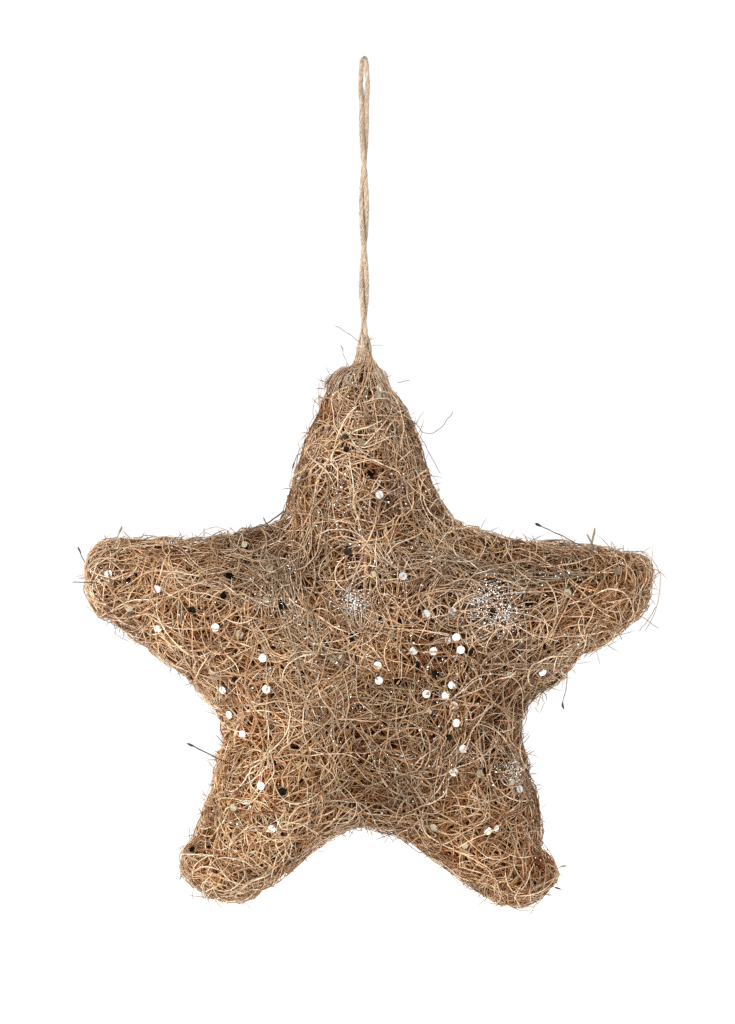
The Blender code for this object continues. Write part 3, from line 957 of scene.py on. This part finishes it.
def wound_strands(skin, rng, winding, sequins, hollows):
    """Strands of one winding, started in small bundles that part as they go."""
    (low, high), metres, step, (thin, thick), painted_depth_shade = WINDINGS[winding]
    outer = winding in OUTER_WINDINGS
    usual = OUTER_LENGTH if outer else INNER_LENGTH
    lengths = np.clip(rng.lognormal(math.log(usual), LENGTH_SPREAD, LENGTHS_DRAWN), *LENGTH_LIMITS)
    count = int(np.searchsorted(np.cumsum(lengths), metres))
    owner = np.arange(count) // BUNDLE
    starts, normals = skin.pick(rng, owner.max() + 1)
    headings = first_headings(rng, normals[owner], owner)
    places = starts[owner] + rng.normal(0, BUNDLE_SPREAD, (count, 3))
    curl = rng.choice(CURLS, size=owner.max() + 1, p=CURL_SHARES)
    bends = rng.normal(0, curl)[owner] + rng.normal(0, STRAND_CURL, count)
    counts = np.maximum((lengths[:count] / step).astype(int) + 1, 5)
    strands = []
    for feet, outward in skin.walk(rng, places, headings, bends, counts, step, hollows if outer else None):
        size = len(feet)
        if feet[:, 2].max() > NECK_FOOT - NECK_CLEARING:
            continue
        way = np.arange(size) * step
        height = rng.uniform(low, high)
        height += rng.uniform(0.2, 0.6) * (high - low) * np.sin(
            math.tau * way / rng.uniform(0.014, 0.040) + rng.uniform(0, math.tau))
        height = np.clip(height + rng.normal(0, 0.00012, size), low - 0.0004, high + 0.0004)
        if outer:
            height = keep_sequins_clear(feet, height, sequins, rng.random() < 0.13)
        points = feet + outward * height[:, None]
        radii = rng.uniform(thin, thick) * (1 + rng.normal(0, 0.08, size))
        radii[[1, -2]] *= 0.7
        light = rng.normal(1, 0.13) * (1 + waver(way, STRAND_SHADING, rng.uniform(0, math.tau)))
        # Painted shade: the winding's depth makes the strand darker and redder, or a little lighter on top
        base = grass_colour(rng) * np.array(painted_depth_shade)
        dust = dust_at(points, outward) * rng.choice(DUST_HELD, p=DUST_SHARES)
        strands.append((points, radii, placed_tints(points, base, light), dust))
    return strands


def loose_strands(skin, rng, sequins):
    """Strands that stand off the surface: arcs lifted in their middle and ends that point away."""
    starts, normals = skin.pick(rng, LOOSE_STRANDS, 0.55, 2.6)
    headings = first_headings(rng, normals, np.arange(LOOSE_STRANDS))
    bends = rng.normal(0, 75, LOOSE_STRANDS)
    counts = np.clip(rng.lognormal(math.log(8), 0.40, LOOSE_STRANDS), 5, 14).astype(int)
    strands = []
    for feet, outward in skin.walk(rng, starts, headings, bends, counts, LOOSE_STEP):
        size = len(feet)
        way = np.linspace(0, 1, size)
        if rng.random() < 0.55:
            height = np.sin(math.pi * way) * rng.uniform(*LOOSE_ARC)
        else:
            height = way ** 2 * rng.uniform(*LOOSE_END)
        height = height - 0.0004
        height = keep_sequins_clear(feet, height, sequins, rng.random() < 0.07)
        points = feet + outward * height[:, None]
        radii = rng.uniform(*LOOSE_RADIUS) * (1 - 0.35 * way)
        base = grass_colour(rng) * 0.96
        tints = placed_tints(points, base, rng.normal(1, 0.14))
        strands.append((points, radii, tints, dust_at(points, outward) * rng.choice([0.3, 1.2])))
    return strands


def short_fibres(skin, rng):
    """Thin ends and splinters that stand out all over, most of all round the outline."""
    starts, normals = skin.pick(rng, FIBRES, 0.5, 3.0)
    clustered = patchiness(starts, 0.009, 21.0) > 0.02
    starts, normals = starts[clustered], normals[clustered]
    strands = []
    for start, normal in zip(starts, normals):
        foot, outward, _index, _distance = skin.tree.find_nearest(start)
        aside = unit(np.cross(outward, rng.normal(0, 1, 3)))
        away = unit(aside * rng.uniform(0.3, 1.2) + np.array(outward))
        length = rng.uniform(*FIBRE_LENGTH)
        way = np.linspace(0, 1, 5)[:, None]
        curl = np.cross(outward, aside) * rng.normal(0, 0.80) * length * way ** 2
        points = np.array(foot - outward * 0.0006) + away * length * way + curl
        base = grass_colour(rng) * rng.uniform(0.45, 1.0)
        if rng.random() < DARK_FIBRES:
            base = linear(TWIG_COLOUR) * rng.uniform(0.7, 1.6)
        strands.append(plain_strand(points, rng.uniform(*FIBRE_RADIUS), base))
    return strands


def laid_on_front(skin, route, lift):
    """Gives a route of pixels its depth: over the front of the star, and level beside it."""
    hits = [skin.front(column, row)[0] for column, row in route]
    depths = [hit.y - lift if hit else None for hit in hits]
    known = [number for number, depth in enumerate(depths) if depth is not None]
    points = []
    for number, (column, row) in enumerate(route):
        nearest = min(known, key=lambda other: abs(other - number)) if known else None
        depth = depths[nearest] if known else 0.0
        points.append(from_photo(column, row, depth))
    return points


def stray_strands(skin):
    """The single strands, twigs and spikes that the photograph shows round the outline."""
    colours = {"twig": linear(TWIG_COLOUR), "grey": linear(GREY_COLOUR), "straw": linear(GRASS_COLOURS[1][0])}
    strands = []
    for kind, radius, bead, route in STRAYS:
        points = smooth_line(laid_on_front(skin, route, 0.0010), 0.0010)
        wobble = [patchiness(points, 0.0022, shift) for shift in (1.0, 4.0, 8.0)]
        points = points + np.column_stack(wobble) * 0.0004
        points, radii, tints, dust = plain_strand(points, radius, colours[kind])
        radii *= 1 + 0.25 * patchiness(points, 0.0016, 5.0)
        radii[-3:] *= bead
        strands.append((points, radii, tints, dust))
    return strands


def tinselled_strands(skin, rng):
    """Greyed strands full of glitter that lie over the front in bands."""
    strands = []
    for count, band, radius, route in TINSELLED:
        for _strand in range(count):
            aside = rng.uniform(-band, band)
            sway = [(column + aside + rng.normal(0, 4.5), row + aside * 0.3 + rng.normal(0, 4.5))
                    for column, row in route]
            points = smooth_line(laid_on_front(skin, sway, 0.0), 0.0024)
            for place, point in enumerate(points):
                foot, outward, _index, _distance = skin.tree.find_nearest(point)
                points[place] = foot + outward * (0.0004 + 0.0005 * math.sin(place * 1.1 + aside))
            base = linear(GREY_COLOUR) * rng.uniform(0.6, 1.35)
            width = radius * rng.uniform(0.8, 1.2)
            strands.append(plain_strand(points, width, base, rng.uniform(0.05, 0.40)))
    return strands


# Neck

def neck_radius(height):
    """The neck's radius at a height, and above it the radius of the cord's legs together."""
    if height > NECK_TOP:
        return max(NECK_TOP_RADIUS - 0.27 * (height - NECK_TOP), 0.0006)
    down = (NECK_TOP - height) / (NECK_TOP - NECK_FOOT)
    return NECK_TOP_RADIUS + (NECK_FOOT_RADIUS - NECK_TOP_RADIUS) * min(down, 1) ** 3


def neck_strands(skin, rng):
    """Grass drawn up round the cord, fanning out from the neck down over the top arm."""
    turns = rng.uniform(0, math.tau, NECK_STRANDS)
    out = np.column_stack([np.cos(turns), np.sin(turns), np.zeros(NECK_STRANDS)])
    starts = out * NECK_FOOT_RADIUS + np.array([0, 0, NECK_FOOT + NECK_LIFT])
    headings = out * 0.7 + np.array([0, 0, -0.7])
    bends = rng.normal(0, 16, NECK_STRANDS)
    long = (rng.random(NECK_STRANDS) < 0.5) & (np.cos(turns - NECK_FAN) > -0.2)
    counts = np.where(long, rng.uniform(6, 20, NECK_STRANDS), rng.uniform(3, 6, NECK_STRANDS)).astype(int)
    strands = []
    paths = skin.walk(rng, starts, headings, bends, counts, NECK_STEP, drift=12, swing=28)
    for (feet, outward), turn in zip(paths, turns):
        top = NECK_TOP + (rng.uniform(0.0005, 0.0065) if rng.random() < 0.4 else rng.uniform(-0.0040, 0.0008))
        twist = rng.normal(0.9, 0.45)
        lift = rng.uniform(0.0, 0.00045)
        points = []
        for rise in np.linspace(1, 0.12, 7):
            height = NECK_FOOT + NECK_LIFT + (top - NECK_FOOT) * rise
            radius = neck_radius(height) + lift
            angle = turn + twist * rise
            points.append((radius * math.cos(angle), radius * math.sin(angle), height))
        heights = rng.uniform(-0.0006, 0.0009) + 0.0002 * np.sin(np.arange(len(feet)))
        points += [tuple(point) for point in feet + outward * heights[:, None]]
        points = smooth_line(points, 0.0021)
        jute = rng.random() < (0.8 if top > NECK_TOP + 0.0005 else 0.15)
        base = linear(JUTE_COLOUR) if jute else grass_colour(rng)
        points, radii, _tints, dust = plain_strand(points, rng.uniform(0.00015, 0.00026), base, 0.08)
        strands.append((points, radii, placed_tints(points, base, rng.normal(1, 0.13)), dust))
    return strands


# Sequins and glitter

def turned(spot, normal, lean, lift, rng):
    """Where a small flat thing lies: on a spot of the skin, leaning a little."""
    turn = Vector(normal).to_track_quat("Z", "Y").to_matrix().to_4x4()
    nod = Matrix.Rotation(rng.uniform(-lean, lean), 4, "X")
    roll = Matrix.Rotation(rng.uniform(-lean, lean), 4, "Y")
    return Matrix.Translation(Vector(spot) + Vector(normal) * lift) @ turn @ nod @ roll


def make_more_sequins(skin, foils):
    """Sequins beyond the frame's own, one piece for each finish."""
    rng = np.random.default_rng(SEQUIN_SEED)
    for kind, spots in MORE_SEQUINS.items():
        shape = bmesh.new()
        for column, row in spots:
            hit, normal = skin.front(column, row)
            place = turned(hit, normal, SEQUIN_LEAN, SEQUIN_LIFT, rng)
            radius = SEQUIN_RADIUS * rng.uniform(0.82, 1.0)
            bmesh.ops.create_cone(shape, cap_ends=True, segments=9, radius1=radius, radius2=radius,
                                  depth=SEQUIN_THICKNESS, matrix=place)
        mesh = bpy.data.meshes.new(kind + "_sequins")
        shape.to_mesh(mesh)
        shape.free()
        add_piece(kind + "_sequins", mesh, foils[kind + "_foil"])


def make_glitter(skin, rng, strands, material):
    """Specks of silver glitter on the outermost strands where the dust fell, and clusters of them."""
    points = np.concatenate([strand[0][1:-1] for strand in strands])
    dust = np.concatenate([strand[3][1:-1] for strand in strands])
    sizes = np.concatenate([strand[1][1:-1] for strand in strands])
    out = np.concatenate([np.gradient(strand[0], axis=0)[1:-1] for strand in strands])
    weights = dust ** GLITTER_CROWDING
    picked = rng.choice(len(points), size=GLITTER_FLAKES, p=weights / weights.sum())
    spots = []
    for number in picked:
        facing = unit(np.cross(out[number], rng.normal(0, 1, 3)))
        facing[1] = -abs(facing[1]) if points[number][1] < 0 else abs(facing[1])
        spots.append((points[number] + facing * sizes[number] + rng.normal(0, 0.0002, 3), facing))
    for column, row, radius, count in CLUSTERS:
        for _flake in range(count):
            aside, down = rng.normal(0, radius * 0.7, 2)
            hit, normal = skin.front(column + aside, row + down)
            if hit:
                facing = unit(np.array(normal) + rng.normal(0, 0.35, 3))
                spots.append((hit + normal * rng.uniform(0.0004, 0.0013), facing))
    shape = bmesh.new()
    mesh = bpy.data.meshes.new("glitter")
    for first in range(0, len(spots), FLAKES_AT_ONCE):
        some = bmesh.new()
        for spot, facing in spots[first:first + FLAKES_AT_ONCE]:
            place = turned(spot, facing, 0.6, 0, rng)
            size = rng.uniform(*GLITTER_RADIUS)
            flat = Matrix.Diagonal((size, size * rng.uniform(0.6, 1.0), size * 0.45, 1))
            bmesh.ops.create_uvsphere(some, u_segments=4, v_segments=2, radius=1, matrix=place @ flat)
        some.to_mesh(mesh)
        some.free()
        shape.from_mesh(mesh)
    shape.to_mesh(mesh)
    shape.free()
    add_piece("glitter", mesh, material)


def make_packed_grass(skin, material):
    """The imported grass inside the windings: the skin drawn in, with its lumps smoothed."""
    core = skin.shape.copy()
    core.normal_update()
    for vertex in core.verts:
        depth = NECK_CORE_DEPTH if vertex.co.z > NECK_FOOT - 0.003 else CORE_DEPTH
        vertex.co -= vertex.normal * depth
    smooth(core, core.verts, 3)
    mesh = bpy.data.meshes.new("packed_grass")
    core.to_mesh(mesh)
    core.free()
    mesh.shade_smooth()
    piece = add_piece("packed_grass", mesh, material)
    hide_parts("grass_star")


def frame_sequins(foils):
    """Gives the frame's sequins their finish, and gives the places of all sequins."""
    slots = {entry["node"]: entry["material_slot"] for entry in frame["record"]["subparts"]}
    places = []
    for name, disc in frame["nodes"].items():
        if name.startswith("sequin_"):
            low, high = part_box(name)
            places.append((Vector(low) + Vector(high)) / 2)
            disc.data.materials.clear()
            disc.data.materials.append(foils[slots[name]])
    return places


def main():
    make_camera()
    jute = jute_material()
    make_hairs(*make_cord(jute), jute)
    make_backdrop()
    for name, look in LIGHTS.items():
        make_light(name, *look)
    make_floor()
    grass = grass_material()
    foils = {name: foil_material(name, *look) for name, look in FOILS.items()}
    places = frame_sequins(foils)
    skin = Skin(spot_tree(places))
    for spots in MORE_SEQUINS.values():
        places += [skin.front(column, row)[0] for column, row in spots]
    sequins = spot_tree(places)
    make_packed_grass(skin, packed_grass_shade_material())
    rng = np.random.default_rng(GRASS_SEED)
    spots, _normals = skin.pick(rng, HOLLOWS, 0.5)
    hollows = (spot_tree(spots), rng.uniform(*HOLLOW_RADIUS, HOLLOWS))
    pieces = {winding: wound_strands(skin, rng, winding, sequins, hollows) for winding in WINDINGS}
    pieces["loose_strands"] = loose_strands(skin, rng, sequins)
    pieces["short_fibres"] = short_fibres(skin, rng)
    pieces["stray_strands"] = stray_strands(skin)
    pieces["tinselled_strands"] = tinselled_strands(skin, rng)
    pieces["neck_strands"] = neck_strands(skin, rng)
    for name, strands in pieces.items():
        add_piece(name, strand_mesh(name, strands), grass)
    make_more_sequins(skin, foils)
    dusted = pieces["top_winding"] + pieces["loose_strands"] + pieces["tinselled_strands"]
    make_glitter(skin, rng, dusted, foils["silver_foil"])
    skin.shape.free()


main()
